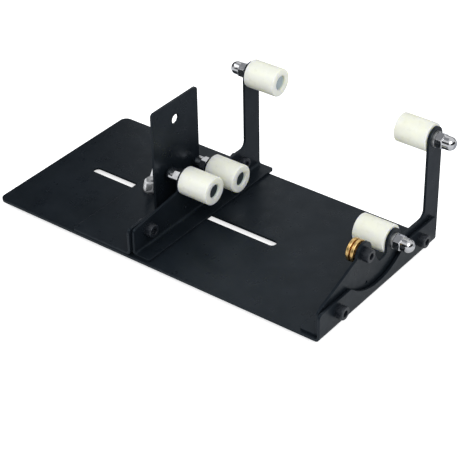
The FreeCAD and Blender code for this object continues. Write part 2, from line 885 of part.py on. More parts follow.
def wing_nut():
    """Wing nut with a tapered hub and two upswept round-tipped wings."""
    body = new_body("wing_nut_body")
    bore = (s.clamp_diameter + s.thread_clearance) / 2
    low = s.wing_hub_diameter / 2
    high = s.wing_hub_top_diameter / 2
    hub = sketch_on(body, "XZ_Plane")
    add_outline(hub, [
        (bore, ZERO),
        (low, ZERO),
        (high, s.wing_hub_height),
        (bore, s.wing_hub_height),
    ])
    turn(body, hub, "V_Axis")
    tip_x = s.wing_span / 2 - s.wing_tip_radius
    tip_z = s.wing_rise - s.wing_tip_radius
    inner = (bore + high) / 2
    for side in (-1, 1):
        web = sketch_on(body, "XZ_Plane")
        add_outline(web, [
            (inner * side, s.wing_root_height),
            (tip_x * side, tip_z - s.wing_tip_radius),
            ((tip_x + s.wing_tip_radius) * side, tip_z),
            ((tip_x - s.wing_tip_radius) * side, tip_z),
            (inner * side, s.wing_hub_height),
        ])
        pad(body, web, s.wing_thickness, both_ways=True)
        tip = sketch_on(body, "XZ_Plane")
        add_circle(tip, tip_x * side, tip_z, s.wing_tip_radius * 2)
        pad(body, tip, s.wing_thickness, both_ways=True)
    return body


def clamp():
    """Bolt, washer and wing nut that lock the carriage to the base."""
    clamp_bolt()
    seat = carriage_floor + s.carriage_plate_sheet
    body = new_body("clamp_washer_body")
    ring = sketch_on(body, "XY_Plane")
    add_circle(ring, ZERO, ZERO, s.clamp_washer_diameter)
    add_circle(ring, ZERO, ZERO, s.clamp_diameter + s.thread_clearance)
    pad(body, ring, s.clamp_washer_thickness)
    keep(place(body, clamp_x, ZERO, seat), "clamp_washer")
    nut = place(wing_nut(), clamp_x, ZERO, seat + s.clamp_washer_thickness + s.slide_clearance, s.wing_turn)
    keep(nut, "wing_nut")


# The assembly

base_plate()
rubber_feet()
end_floor = base_top
end_bracket = roller_bracket("end_bracket", -1, -s.cutter_y, s.cutter_height,
                             s.pivot_diameter + s.hole_clearance, s.end_shoulder, s.end_lug_foot,
                             s.end_bolt_y, s.end_bolt_height - s.base_sheet)
keep(place(end_bracket, end_wall, ZERO, end_floor), "end_bracket")
bolted_joint("end_bracket", flange_outer, s.base_sheet, s.end_gap, s.bracket_sheet,
             s.end_bolt_y, s.foot_height + s.end_bolt_height)
roller_station("end", [
    ("end_low_roller", s.low_axis_y, s.low_axis_height),
    ("end_tall_roller", arm_axis_y, s.arm_axis_height),
], end_wall - s.bracket_sheet, end_floor, -1)
cutter_station()

carriage_plate()
carriage_bracket = roller_bracket("carriage_bracket", 1, -s.near_axis_y, s.near_axis_height, axle_hole,
                                  s.carriage_shoulder, s.carriage_lug_foot, s.carriage_bolt_y,
                                  s.carriage_bolt_height)
keep(place(carriage_bracket, carriage_wall, ZERO, carriage_floor), "carriage_bracket")
bolted_joint("carriage", carriage_wall + s.bracket_sheet, s.bracket_sheet, s.carriage_gap,
             s.carriage_plate_sheet, s.carriage_bolt_y, carriage_floor + s.carriage_bolt_height)
roller_station("carriage", [
    ("near_low_roller", -s.near_axis_y, s.near_axis_height),
    ("far_low_roller", s.low_axis_y, s.low_axis_height),
    ("carriage_tall_roller", arm_axis_y, s.arm_axis_height),
], carriage_wall + s.bracket_sheet, carriage_floor, 1)
stop_bracket()
clamp()

doc.recompute()

failed = [item.Name for item in doc.Objects if "Invalid" in item.State or "Error" in item.State]
if failed:
    raise RuntimeError("failed objects: %s" % ", ".join(failed))
for piece in pieces:
    if piece.Shape.isNull() or not piece.Shape.isValid() or not piece.Shape.Solids:
        raise RuntimeError("bad shape: %s" % piece.Label)

os.makedirs("parts", exist_ok=True)
for piece in pieces:
    piece.Shape.exportStep("parts/%s.step" % piece.Label)
    print("%-26s solids %d volume %.1f" % (piece.Label, len(piece.Shape.Solids), piece.Shape.Volume))
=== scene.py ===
"""Looks for a glass bottle cutting jig, in metres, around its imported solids."""
import json
import math
import bmesh
import bpy
from mathutils import Matrix, Vector


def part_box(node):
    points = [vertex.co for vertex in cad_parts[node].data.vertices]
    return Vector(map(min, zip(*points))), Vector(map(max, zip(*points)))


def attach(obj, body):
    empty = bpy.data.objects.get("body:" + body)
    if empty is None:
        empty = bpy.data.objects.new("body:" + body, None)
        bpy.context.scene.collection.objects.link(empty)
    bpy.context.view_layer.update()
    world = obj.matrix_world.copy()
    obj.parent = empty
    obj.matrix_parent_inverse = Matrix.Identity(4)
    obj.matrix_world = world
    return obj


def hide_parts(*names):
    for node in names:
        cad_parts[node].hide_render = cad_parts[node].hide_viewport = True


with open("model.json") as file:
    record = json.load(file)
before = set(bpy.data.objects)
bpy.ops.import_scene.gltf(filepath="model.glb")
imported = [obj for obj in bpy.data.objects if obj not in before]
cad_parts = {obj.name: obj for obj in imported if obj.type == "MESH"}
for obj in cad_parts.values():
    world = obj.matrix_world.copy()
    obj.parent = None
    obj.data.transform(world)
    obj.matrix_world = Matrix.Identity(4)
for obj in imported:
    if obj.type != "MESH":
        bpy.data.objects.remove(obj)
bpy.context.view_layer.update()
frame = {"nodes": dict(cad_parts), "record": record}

MM = 0.001
FULL_TURN = 2 * math.pi
QUARTER_TURN = math.pi / 2
X_AXIS = Vector((1, 0, 0))
Z_AXIS = Vector((0, 0, 1))
WHITE = (1.0, 1.0, 1.0, 1.0)


# Shader helpers

EDGE_SAMPLES = 6
# cosine of the angle between a face and its softened edge, where rubbing is full and where it ends
RUBBED_EDGE = 0.8
PLAIN_FACE = 0.995


class Look:
    """A procedural material under construction: one shader with its texture nodes."""

    def __init__(self, name, metallic=0.0):
        self.material = bpy.data.materials.new(name)
        self.material.use_nodes = True
        self.tree = self.material.node_tree
        self.shader = self.tree.nodes["Principled BSDF"]
        self.place = self.node("ShaderNodeTexCoord").outputs["Object"]
        self.softened = None
        self.set("Metallic", metallic)

    def node(self, kind, **settings):
        made = self.tree.nodes.new(kind)
        for key, value in settings.items():
            setattr(made, key, value)
        return made

    def set(self, socket, value):
        self.shader.inputs[socket].default_value = value

    def link(self, output, target):
        self.tree.links.new(output, target)

    def noise(self, scale, detail, stretch=(1.0, 1.0, 1.0)):
        """Noise over the piece, with its grain drawn out along an axis where asked."""
        mapping = self.node("ShaderNodeMapping")
        mapping.inputs["Scale"].default_value = stretch
        self.link(self.place, mapping.inputs["Vector"])
        texture = self.node("ShaderNodeTexNoise")
        texture.inputs["Scale"].default_value = scale
        texture.inputs["Detail"].default_value = detail
        self.link(mapping.outputs["Vector"], texture.inputs["Vector"])
        return texture.outputs["Fac"]

    def distance_from_x_axis(self, centre):
        """How far each point lies from a line along X through the centre."""
        offset = self.node("ShaderNodeVectorMath", operation="SUBTRACT")
        self.link(self.place, offset.inputs[0])
        offset.inputs[1].default_value = centre
        across = self.node("ShaderNodeVectorMath", operation="MULTIPLY")
        self.link(offset.outputs["Vector"], across.inputs[0])
        across.inputs[1].default_value = (0.0, 1.0, 1.0)
        length = self.node("ShaderNodeVectorMath", operation="LENGTH")
        self.link(across.outputs["Vector"], length.inputs[0])
        return length.outputs["Value"]

    def spread(self, value, low, high, start=0.35, end=0.65):
        """Map a span of a value, or a texture's middle span, on to a range of numbers."""
        mapped = self.node("ShaderNodeMapRange")
        mapped.inputs["From Min"].default_value = start
        mapped.inputs["From Max"].default_value = end
        mapped.inputs["To Min"].default_value = low
        mapped.inputs["To Max"].default_value = high
        self.link(value, mapped.inputs["Value"])
        return mapped.outputs["Result"]

    def product(self, first, second):
        multiply = self.node("ShaderNodeMath", operation="MULTIPLY")
        self.link(first, multiply.inputs[0])
        self.link(second, multiply.inputs[1])
        return multiply.outputs["Value"]

    def blend(self, factor, first, second):
        """Mix two colours, or a colour output and a colour, by a factor."""
        mix = self.node("ShaderNodeMix", data_type="RGBA")
        self.link(factor, mix.inputs["Factor"])
        for socket, colour in (("A", first), ("B", second)):
            target = next(item for item in mix.inputs if item.name == socket and item.type == "RGBA")
            if isinstance(colour, tuple):
                target.default_value = (*colour, 1.0)
            else:
                self.link(colour, target)
        return next(item for item in mix.outputs if item.type == "RGBA")

    def mottle(self, scale, detail, dark, light):
        """A colour that drifts between two tones."""
        return self.blend(self.spread(self.noise(scale, detail), low=0.0, high=1.0), dark, light)

    def colour(self, output):
        self.link(output, self.shader.inputs["Base Color"])

    def sheen(self, scale, detail, low, high):
        """Let the roughness drift between two values."""
        roughness = self.spread(self.noise(scale, detail), low, high)
        self.link(roughness, self.shader.inputs["Roughness"])

    def soft_edges(self, radius):
        """Round the shading over sharp edges and return how far that turns the surface."""
        bevel = self.node("ShaderNodeBevel", samples=EDGE_SAMPLES)
        bevel.inputs["Radius"].default_value = radius
        face = self.node("ShaderNodeNewGeometry")
        dot = self.node("ShaderNodeVectorMath", operation="DOT_PRODUCT")
        self.link(bevel.outputs["Normal"], dot.inputs[0])
        self.link(face.outputs["Normal"], dot.inputs[1])
        self.softened = bevel.outputs["Normal"]
        return self.spread(dot.outputs["Value"], low=1.0, high=0.0, start=RUBBED_EDGE, end=PLAIN_FACE)

    def grain(self, scale, detail, strength, height, stretch=(1.0, 1.0, 1.0)):
        """Raise fine relief, on top of any softened edges."""
        relief = self.node("ShaderNodeBump")
        relief.inputs["Strength"].default_value = strength
        relief.inputs["Distance"].default_value = height
        self.link(self.noise(scale, detail, stretch), relief.inputs["Height"])
        if self.softened:
            self.link(self.softened, relief.inputs["Normal"])
        self.link(relief.outputs["Normal"], self.shader.inputs["Normal"])


# Materials

def powder_coat():
    """Satin blue-black powder coat with orange peel, a cloudy tone and rubbed edges."""
    look = Look("satin_powder_coat")
    look.set("Specular IOR Level", 0.15)
    look.set("Specular Tint", (0.66, 0.84, 1.0, 1.0))
    edges = look.soft_edges(radius=0.5 * MM)
    body = look.mottle(scale=38.0, detail=4.0, dark=(0.006, 0.0085, 0.0115), light=(0.009, 0.0122, 0.0162))
    wear = look.spread(look.noise(scale=420.0, detail=4.0), low=0.0, high=0.55, start=0.4, end=0.62)
    rubbed = (0.045, 0.049, 0.055)
    look.colour(look.blend(look.product(edges, wear), body, rubbed))
    look.sheen(scale=95.0, detail=3.0, low=0.27, high=0.37)
    look.grain(scale=1300.0, detail=1.0, strength=0.035, height=0.1 * MM)
    return look.material


def nylon():
    """Turned ivory nylon, a little translucent, with faint lathe rings and handling marks."""
    look = Look("turned_nylon")
    look.soft_edges(radius=0.6 * MM)
    body = look.mottle(scale=55.0, detail=4.0, dark=(0.81, 0.815, 0.69), light=(0.865, 0.875, 0.765))
    marks = look.spread(look.noise(scale=240.0, detail=5.0), low=0.0, high=0.35, start=0.56, end=0.72)
    handled = (0.68, 0.675, 0.55)
    look.colour(look.blend(marks, body, handled))
    look.sheen(scale=150.0, detail=3.0, low=0.28, high=0.42)
    look.set("Subsurface Weight", 0.6)
    look.set("Subsurface Radius", (0.3, 0.29, 0.15))
    look.set("Subsurface Scale", 0.04)
    look.grain(scale=90.0, detail=1.0, strength=0.1, height=0.1 * MM, stretch=(26.0, 0.4, 0.4))
    return look.material


def bright_plate():
    """Bright chrome plate with smears and hairline scratches, and a painted highlight along its softened
    edges.
    """
    look = Look("bright_plate", metallic=1.0)
    edges = look.soft_edges(radius=0.4 * MM)
    plate = (0.5, 0.507, 0.525)
    # painted highlight: a paler plate over every softened edge, standing for the bright lines that light
    # draws along the nut corners
    painted_edge_highlight = (0.7, 0.71, 0.73)
    look.colour(look.blend(edges, plate, painted_edge_highlight))
    look.sheen(scale=260.0, detail=4.0, low=0.05, high=0.12)
    look.grain(scale=900.0, detail=2.0, strength=0.03, height=0.05 * MM, stretch=(1.0, 0.25, 3.0))
    return look.material


def cast_plate():
    """Pale satin plate over a casting, softened by the grain of the mould."""
    look = Look("cast_plate", metallic=0.3)
    look.colour(look.mottle(scale=180.0, detail=3.0, dark=(0.86, 0.87, 0.88), light=(0.94, 0.95, 0.96)))
    look.sheen(scale=240.0, detail=3.0, low=0.42, high=0.52)
    look.grain(scale=1100.0, detail=2.0, strength=0.04, height=0.06 * MM)
    return look.material


def zinc_plate():
    """Dull zinc plate, spangled and a little stained."""
    look = Look("zinc_plate", metallic=1.0)
    look.soft_edges(radius=0.3 * MM)
    look.colour(look.mottle(scale=320.0, detail=4.0, dark=(0.42, 0.43, 0.44), light=(0.58, 0.59, 0.6)))
    look.sheen(scale=180.0, detail=3.0, low=0.3, high=0.48)
    look.grain(scale=1500.0, detail=2.0, strength=0.12, height=0.1 * MM)
    return look.material


def axle_steel():
    """Ground steel of the axle heads, smooth enough to mirror the dark sheet around it."""
    look = Look("axle_steel", metallic=1.0)
    look.soft_edges(radius=0.3 * MM)
    look.colour(look.mottle(scale=260.0, detail=4.0, dark=(0.5, 0.585, 0.585), light=(0.58, 0.66, 0.66)))
    look.sheen(scale=420.0, detail=3.0, low=0.05, high=0.1)
    look.grain(scale=1800.0, detail=2.0, strength=0.02, height=0.05 * MM)
    return look.material


def black_oxide():
    """Oiled black oxide, with steel showing on the rubbed edges."""
    look = Look("black_oxide", metallic=0.35)
    edges = look.soft_edges(radius=0.4 * MM)
    body = look.mottle(scale=210.0, detail=3.0, dark=(0.008, 0.011, 0.016), light=(0.016, 0.02, 0.027))
    wear = look.spread(look.noise(scale=700.0, detail=4.0), low=0.0, high=0.8, start=0.42, end=0.64)
    steel = (0.16, 0.16, 0.165)
    look.colour(look.blend(look.product(edges, wear), body, steel))
    look.sheen(scale=330.0, detail=3.0, low=0.27, high=0.44)
    look.grain(scale=1900.0, detail=2.0, strength=0.1, height=0.1 * MM)
    return look.material


def gold_coat():
    """Hard gold coating over turned steel, with painted shade darkening it below the rim, in the groove and
    down its sides.
    """
    look = Look("gold_coat", metallic=1.0)
    look.soft_edges(radius=0.3 * MM)
    low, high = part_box("scoring_wheel")
    radius = (high.z - low.z) / 2
    shade_radius = radius - 0.75 * MM
    rim_radius = radius - 0.1 * MM
    from_axis = look.distance_from_x_axis((low + high) / 2)
    # painted shade: the colour goes dark amber from just under the rim to 0.75 mm below it and stays dark
    # nearer the axis, standing for shade in the groove
    groove_shade_mask = look.spread(from_axis, low=1.0, high=0.0, start=shade_radius, end=rim_radius)
    rim = look.mottle(scale=380.0, detail=3.0, dark=(0.58, 0.38, 0.14), light=(0.74, 0.51, 0.22))
    painted_groove_shade = (0.42, 0.19, 0.02)
    look.colour(look.blend(groove_shade_mask, rim, painted_groove_shade))
    look.sheen(scale=240.0, detail=3.0, low=0.27, high=0.36)
    look.grain(scale=90.0, detail=1.0, strength=0.02, height=0.04 * MM, stretch=(10.0, 0.4, 0.4))
    return look.material


def foot_rubber():
    """Moulded black rubber with a fine grain and dust."""
    look = Look("foot_rubber")
    look.soft_edges(radius=0.4 * MM)
    look.colour(look.mottle(scale=300.0, detail=4.0, dark=(0.012, 0.012, 0.012), light=(0.03, 0.03, 0.029)))
    look.sheen(scale=500.0, detail=3.0, low=0.7, high=0.9)
    look.grain(scale=2600.0, detail=2.0, strength=0.25, height=0.15 * MM)
    return look.material


LOOKS = {
    "coated_sheet": powder_coat(),
    "nylon": nylon(),
    "chrome": bright_plate(),
    "zinc_plate": zinc_plate(),
    "black_oxide": black_oxide(),
    "gold_wheel": gold_coat(),
    "rubber": foot_rubber(),
}
AXLE_STEEL = axle_steel()
CAST_PLATE = cast_plate()
AXLES = ("end_axles", "carriage_axles")

for subpart in frame["record"]["subparts"]:
    finish = AXLE_STEEL if subpart["node"] in AXLES else LOOKS[subpart["material_slot"]]
    for material_slot in frame["nodes"][subpart["node"]].material_slots:
        material_slot.material = finish


# Making a piece

CREASE = math.radians(40.0)
FLAT = "flat"
SMOOTH = "smooth"
CREASED = "creased"


def turns_of(sides):
    """Equal turns round a full circle."""
    return [FULL_TURN * side / sides for side in range(sides)]


def spoke(turn):
    """A unit step away from an axis along X."""
    return Vector((0.0, math.cos(turn), math.sin(turn)))


def skin(shape, rings, closed=False):
    """Join rings of vertices with faces, in order, and the last to the first where asked."""
    following = rings[1:] + rings[:1] if closed else rings[1:]
    for low, high in zip(rings, following):
        for side in range(len(low)):
            after = (side + 1) % len(low)
            shape.faces.new((low[side], low[after], high[after], high[side]))


def add_piece(name, shape, place, material, shading, body, stands_for=None):
    """Turn a shape into a piece that rides on a body and, where one is named, stands for a node."""
    bmesh.ops.recalc_face_normals(shape, faces=shape.faces)
    mesh = bpy.data.meshes.new(name)
    shape.to_mesh(mesh)
    shape.free()
    for polygon in mesh.polygons:
        polygon.use_smooth = shading != FLAT
    if shading == CREASED:
        mesh.set_sharp_from_angle(angle=CREASE)
    mesh.materials.append(material)
    piece = bpy.data.objects.new(name, mesh)
    bpy.context.scene.collection.objects.link(piece)
    piece.matrix_world = place
    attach(piece, body)
    if stands_for:
        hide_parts(stands_for)


# Knurls and thread, fine relief that the solids leave plain

HEAD = 10.0 * MM
HEAD_LENGTH = 6.0 * MM
KNURL_INSET = 0.6 * MM
KNURL_LENGTH = HEAD_LENGTH - 2 * KNURL_INSET
KNURL_LIFT = 0.005 * MM
KNURL_DEPTH = 0.14 * MM
KNURL_FADE = 0.5 * MM
KNURL_RINGS = 8
RIDGES = 36
SIDES_PER_RIDGE = 4
SCREWS = {"end_bracket_screws": "base", "carriage_screws": "carriage", "cutter_screw": "base"}
# centres are compared to a hundredth of a millimetre
CENTRE_DIGITS = 5
CLAMP_SHANK = 6.0 * MM
CLAMP_PITCH = 1.0 * MM
THREAD_LIFT = 0.01 * MM
THREAD_DEPTH = 0.22 * MM
THREAD_LEAD_IN = 0.8 * CLAMP_PITCH
THREAD_SIDES = 48
RINGS_PER_PITCH = 10
HUB_HEIGHT = 7.5 * MM


def sleeve(name, length, rings, sides, radius_at, body, slot, origin, axis):
    """A tube round an axis whose radius is a function of the turn and the place along it."""
    shape = bmesh.new()
    rows = []
    for ring in range(rings + 1):
        along = length * ring / rings
        row = []
        for turn in turns_of(sides):
            radius = radius_at(turn, along)
            row.append(shape.verts.new((radius * math.cos(turn), radius * math.sin(turn), along)))
        rows.append(row)
    skin(shape, rows)
    turn_to_axis = Z_AXIS.rotation_difference(axis).to_matrix().to_4x4()
    add_piece(name, shape, Matrix.Translation(origin) @ turn_to_axis, LOOKS[slot], FLAT, body)


def knurl(name, body, origin):
    """Straight knurl round a screw head, fading out at both ends."""
    def radius_at(turn, along):
        crest = 0.5 + 0.5 * math.cos(turn * RIDGES)
        fade = max(0.0, min(1.0, along / KNURL_FADE, (KNURL_LENGTH - along) / KNURL_FADE))
        return HEAD / 2 + KNURL_LIFT + KNURL_DEPTH * crest * fade

    sleeve(name, KNURL_LENGTH, KNURL_RINGS, RIDGES * SIDES_PER_RIDGE, radius_at,
           body, "black_oxide", origin, X_AXIS)


def head_centres(screw_node):
    """The Y and Z of a node's screw heads, which lie at its two ends in Y, or of its only one."""
    low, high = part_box(screw_node)
    half = (high.z - low.z) / 2
    height = (low.z + high.z) / 2
    return sorted({(round(y, CENTRE_DIGITS), height) for y in (low.y + half, high.y - half)})


def clamp_thread():
    """Screw thread on the clamp bolt's bare end above the wing nut, tapered at its tip."""
    low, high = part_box("clamp_bolt")
    hub_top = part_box("wing_nut")[0].z + HUB_HEIGHT
    length = high.z - hub_top

    def radius_at(turn, along):
        phase = (along / CLAMP_PITCH - turn / FULL_TURN) % 1.0
        crest = 1.0 - abs(2.0 * phase - 1.0)
        fade = min(1.0, (length - along) / THREAD_LEAD_IN)
        return CLAMP_SHANK / 2 + THREAD_LIFT + THREAD_DEPTH * crest * fade

    rings = round(length / CLAMP_PITCH * RINGS_PER_PITCH)
    origin = Vector(((low.x + high.x) / 2, 0.0, hub_top))
    sleeve("clamp_bolt_thread", length, rings, THREAD_SIDES, radius_at,
           "carriage", "zinc_plate", origin, Z_AXIS)


for node_name, owner in SCREWS.items():
    knurl_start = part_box(node_name)[1].x - HEAD_LENGTH + KNURL_INSET
    for number, (y, z) in enumerate(head_centres(node_name)):
        knurl("%s_knurl_%d" % (node_name, number), owner, Vector((knurl_start, y, z)))
clamp_thread()


# Turned rollers

ROLLER_SIDES = 96
ROLLER_BORE = 3.06 * MM
WASHER_RECESS = 6.4 * MM
RECESS_DEPTH = 1.45 * MM
COUNTERBORE = 5.7 * MM
COUNTERBORE_DEPTH = 5.0 * MM
INNER_ROUND = 0.45 * MM
OUTER_ROUND = 1.0 * MM
ROUND_STEPS = 6
# the way along X that each roller points from its arm
ROLLERS = {
    "end_low_roller": -1,
    "end_tall_roller": -1,
    "near_low_roller": 1,
    "far_low_roller": 1,
    "carriage_tall_roller": 1,
}


def rounded(radius, along, size, start):
    """Points of a quarter round on a turned profile, from one tangent point to the other."""
    turns = [start + QUARTER_TURN * step / ROUND_STEPS for step in range(ROUND_STEPS + 1)]
    return [(radius + size * math.cos(turn), along + size * math.sin(turn)) for turn in turns]


def roller_profile(outer, length):
    """Radius and place along the axis, round the section from the recess at the arm."""
    floor = length - COUNTERBORE_DEPTH
    recess = [(ROLLER_BORE, 0.0), (WASHER_RECESS, 0.0), (WASHER_RECESS, -RECESS_DEPTH)]
    inner_corner = rounded(outer - INNER_ROUND, INNER_ROUND - RECESS_DEPTH, INNER_ROUND, -QUARTER_TURN)
    outer_corner = rounded(outer - OUTER_ROUND, length - OUTER_ROUND, OUTER_ROUND, 0.0)
    counterbore = [(COUNTERBORE, length), (COUNTERBORE, floor), (ROLLER_BORE, floor)]
    return recess + inner_corner + outer_corner + counterbore


def turned_roller(node_name, direction):
    """Roller with a recess for its thrust washer, so that its rim runs close to the arm."""
    low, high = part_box(node_name)
    inner_end = (low + high) / 2
    inner_end.x = low.x if direction > 0 else high.x
    shape = bmesh.new()
    rings = []
    for radius, along in roller_profile((high.z - low.z) / 2, high.x - low.x):
        step = X_AXIS * direction * along
        rings.append([shape.verts.new(step + spoke(turn) * radius) for turn in turns_of(ROLLER_SIDES)])
    skin(shape, rings, closed=True)
    add_piece(node_name + "_turned", shape, Matrix.Translation(inner_end), LOOKS["nylon"], CREASED,
              body=node_name, stands_for=node_name)


for node_name, direction in ROLLERS.items():
    turned_roller(node_name, direction)


# Domed nuts

NUT_FLATS = 10.8 * MM
NUT_HEIGHT = 6.0 * MM
NUT_SIDES = 96
CHAMFER_SLOPE = math.tan(math.radians(30.0))
SEAT_RADIUS = 5.1 * MM
DOME_RADIUS = 5.15 * MM
DOME_STEPS = 12
NUT_BORE = 3.05 * MM
NUT_BORE_DEPTH = 9.0 * MM
SIXTH_TURN = FULL_TURN / 6
# each node's body, the way its nuts point along X, and each nut's turn in degrees on its roller's axis
DOMED_NUTS = {
    "end_acorn_nuts": ("base", 1, {"end_low_roller": 0.0, "end_tall_roller": 0.0}),
    "carriage_acorn_nuts": ("carriage", -1, {
        "near_low_roller": 17.0, "far_low_roller": 30.0, "carriage_tall_roller": 0.0}),
}


def nut_profile(turn, height):
    """Radius and place along the axis, from the bottom of the bore over the hexagon to the dome."""
    from_flat = (turn + SIXTH_TURN / 2) % SIXTH_TURN - SIXTH_TURN / 2
    edge = NUT_FLATS / 2 / math.cos(from_flat)
    points = [(NUT_BORE, NUT_BORE_DEPTH), (NUT_BORE, 0.0), (SEAT_RADIUS, 0.0),
              (edge, (edge - SEAT_RADIUS) * CHAMFER_SLOPE),
              (edge, NUT_HEIGHT - (edge - DOME_RADIUS) * CHAMFER_SLOPE), (DOME_RADIUS, NUT_HEIGHT)]
    for step in range(DOME_STEPS):
        lift = QUARTER_TURN * step / DOME_STEPS
        points.append((DOME_RADIUS * math.cos(lift), height - DOME_RADIUS * (1 - math.sin(lift))))
    return points


def domed_nut(shape, seat, direction, start, height):
    """Add one chamfered hexagon nut with its dome, on a seat and along X."""
    turns = turns_of(NUT_SIDES)
    rings = []
    for level in zip(*(nut_profile(turn, height) for turn in turns)):
        rings.append([shape.verts.new(seat + spoke(turn + start) * radius + X_AXIS * direction * along)
                      for turn, (radius, along) in zip(turns, level)])
    skin(shape, rings)
    shape.faces.new(rings[0])
    tip = shape.verts.new(seat + X_AXIS * direction * height)
    last = rings[-1]
    for vertex, after in zip(last, last[1:] + last[:1]):
        shape.faces.new((vertex, after, tip))


def domed_nuts(node_name, body, direction, degrees_on):
    """All the domed nuts of a node, each on its roller's axis."""
    low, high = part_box(node_name)
    shape = bmesh.new()
    for roller, degrees in degrees_on.items():
        roller_low, roller_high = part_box(roller)
        seat = (roller_low + roller_high) / 2
        seat.x = low.x if direction > 0 else high.x
        domed_nut(shape, seat, direction, math.radians(degrees), high.x - low.x)
    add_piece(node_name + "_domed", shape, Matrix.Identity(4), LOOKS["chrome"], CREASED,
              body=body, stands_for=node_name)


for node_name, (owner, direction, degrees_on) in DOMED_NUTS.items():
    domed_nuts(node_name, owner, direction, degrees_on)


# Cast wing nut

# radius and height in millimetres, round the hub's section from the foot of its bore
HUB_PROFILE = [(3.1, 0.0), (5.5, 0.0), (5.85, 0.15), (5.95, 0.5), (5.5, 3.0), (5.0, 5.6), (4.75, 6.8),
               (4.55, 7.3), (4.2, 7.48), (3.4, 7.48), (3.1, 7.2)]
HUB_SIDES = 48
WING_TURN = math.radians(116.0)
WING_SIDES = 28
WING_STEPS = 14
WING_ROOT = 3.6 * MM
WING_TIP = 13.4 * MM
ROOT_HEIGHT = 4.3 * MM
TIP_HEIGHT = 9.4 * MM
ROOT_HALF_HEIGHT = 3.1 * MM
TIP_RADIUS = 3.6 * MM
ROOT_HALF_WIDTH = 2.7 * MM
TIP_HALF_WIDTH = 1.25 * MM
# powers that sweep the wing up, thin it early, and shape its section across and up
SWEEP_POWER = 1.25
THINNING_POWER = 0.7
ACROSS_POWER = 0.75
RISE_POWER = 0.9
# the tip's last section stops short of a quarter turn, where it would shrink to a point
TIP_STEPS = 8
TIP_STEP = QUARTER_TURN / 8.5
TIP_REACH = 0.98 * TIP_RADIUS
TIP_POWER = 0.6


def wing_section(along, half_height, half_width, height):
    """A rounded upright section of a wing, square to its run."""
    points = []
    for turn in turns_of(WING_SIDES):
        across = half_width * math.copysign(abs(math.cos(turn)) ** ACROSS_POWER, math.cos(turn))
        rise = half_height * math.copysign(abs(math.sin(turn)) ** RISE_POWER, math.sin(turn))
        points.append(Vector((along, across, height + rise)))
    return points


def wing_sections():
    """Sections from the hub out to the round tip, thick at the root and thin at the tip."""
    sections = []
    for step in range(WING_STEPS + 1):
        part = step / WING_STEPS
        along = WING_ROOT + (WING_TIP - WING_ROOT) * part
        height = ROOT_HEIGHT + (TIP_HEIGHT - ROOT_HEIGHT) * part ** SWEEP_POWER
        half_height = ROOT_HALF_HEIGHT + (TIP_RADIUS - ROOT_HALF_HEIGHT) * part
        half_width = ROOT_HALF_WIDTH + (TIP_HALF_WIDTH - ROOT_HALF_WIDTH) * part ** THINNING_POWER
        sections.append(wing_section(along, half_height, half_width, height))
    for step in range(1, TIP_STEPS + 1):
        turn = TIP_STEP * step
        along = WING_TIP + TIP_REACH * math.sin(turn)
        half_width = TIP_HALF_WIDTH * math.cos(turn) ** TIP_POWER
        sections.append(wing_section(along, TIP_RADIUS * math.cos(turn), half_width, TIP_HEIGHT))
    return sections


def add_hub(shape):
    """Add the tapered hub, with its rounded rims and its bore."""
    rings = []
    for radius, height in HUB_PROFILE:
        points = [Vector((radius * math.cos(turn), radius * math.sin(turn), height)) * MM
                  for turn in turns_of(HUB_SIDES)]
        rings.append([shape.verts.new(point) for point in points])
    skin(shape, rings, closed=True)


def add_wing(shape, turn):
    """Add one wing, turned about the hub's axis, with a cap at both ends."""
    rotation = Matrix.Rotation(turn, 3, "Z")
    rings = [[shape.verts.new(rotation @ point) for point in section] for section in wing_sections()]
    skin(shape, rings)
    shape.faces.new(list(reversed(rings[0])))
    shape.faces.new(rings[-1])


def cast_wing_nut():
    """Hub and two upswept wings that swell into it, as one casting."""
    shape = bmesh.new()
    add_hub(shape)
    for half_turn in (0.0, FULL_TURN / 2):
        add_wing(shape, WING_TURN + half_turn)
    low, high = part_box("wing_nut")
    foot = (low + high) / 2
    foot.z = low.z
    add_piece("wing_nut_casting", shape, Matrix.Translation(foot), CAST_PLATE, SMOOTH,
              body="wing_nut", stands_for="wing_nut")


cast_wing_nut()


# Floor, cards, light and camera

WORLD_TONE = (0.95, 0.97, 1.0, 1.0)
WORLD_STRENGTH = 0.66
MATT = 0.9
FLOOR_REACH = 3.0
FLOOR_TONE = (0.97, 0.97, 0.97, 1.0)
FLOOR_GLOW = 0.68
LIGHT_TARGET = Vector((0.0, 0.0, 0.05))
# place, size and power of each soft light
SOFT_BOXES = {
    "key_light": (Vector((1.05, -0.75, 1.3)), 1.2, 16.0),
    "fill_light": (Vector((-1.1, -0.5, 1.2)), 1.0, 5.0),
}
CARD_TONES = {
    "dark_card": (0.03, 0.03, 0.032, 1.0),
    "grey_card": (0.42, 0.42, 0.43, 1.0),
    "pale_card": (0.56, 0.57, 0.6, 1.0),
}
# tone, the X and Y of both ends, and the lowest and highest Z of each upright card
UPRIGHT_CARDS = {
    "right_card": ("dark_card", (1.1, -0.9), (1.1, 0.9), 0.12, 0.75),
    "front_card": ("dark_card", (-0.9, -1.1), (0.5, -1.1), 0.15, 0.8),
    "left_card": ("dark_card", (-1.2, -0.9), (-1.2, 0.9), 0.15, 1.0),
    "back_card": ("dark_card", (-1.1, 1.0), (0.6, 1.0), 0.2, 0.5),
    "near_card": ("dark_card", (-0.8, 0.0), (-0.41, 0.37), 0.06, 0.62),
}
# tone, the X and Y of two opposite corners, and the Z of each level card
LEVEL_CARDS = {
    "floor_card": ("pale_card", (-0.15, 0.085), (0.7, 0.8), 0.001),
    "top_card": ("grey_card", (-1.3, -0.7), (-0.2, 0.5), 1.5),
}
CAMERA_AZIMUTH = math.radians(37.8122)
CAMERA_ELEVATION = math.radians(34.8629)
CAMERA_ROLL = math.radians(-1.0864)
CAMERA_PLACE = Vector((0.64384, -0.80247, 0.70746))
CAMERA_SENSOR = 36.0
CAMERA_LENS = 126.464
CAMERA_REACH = 20.0


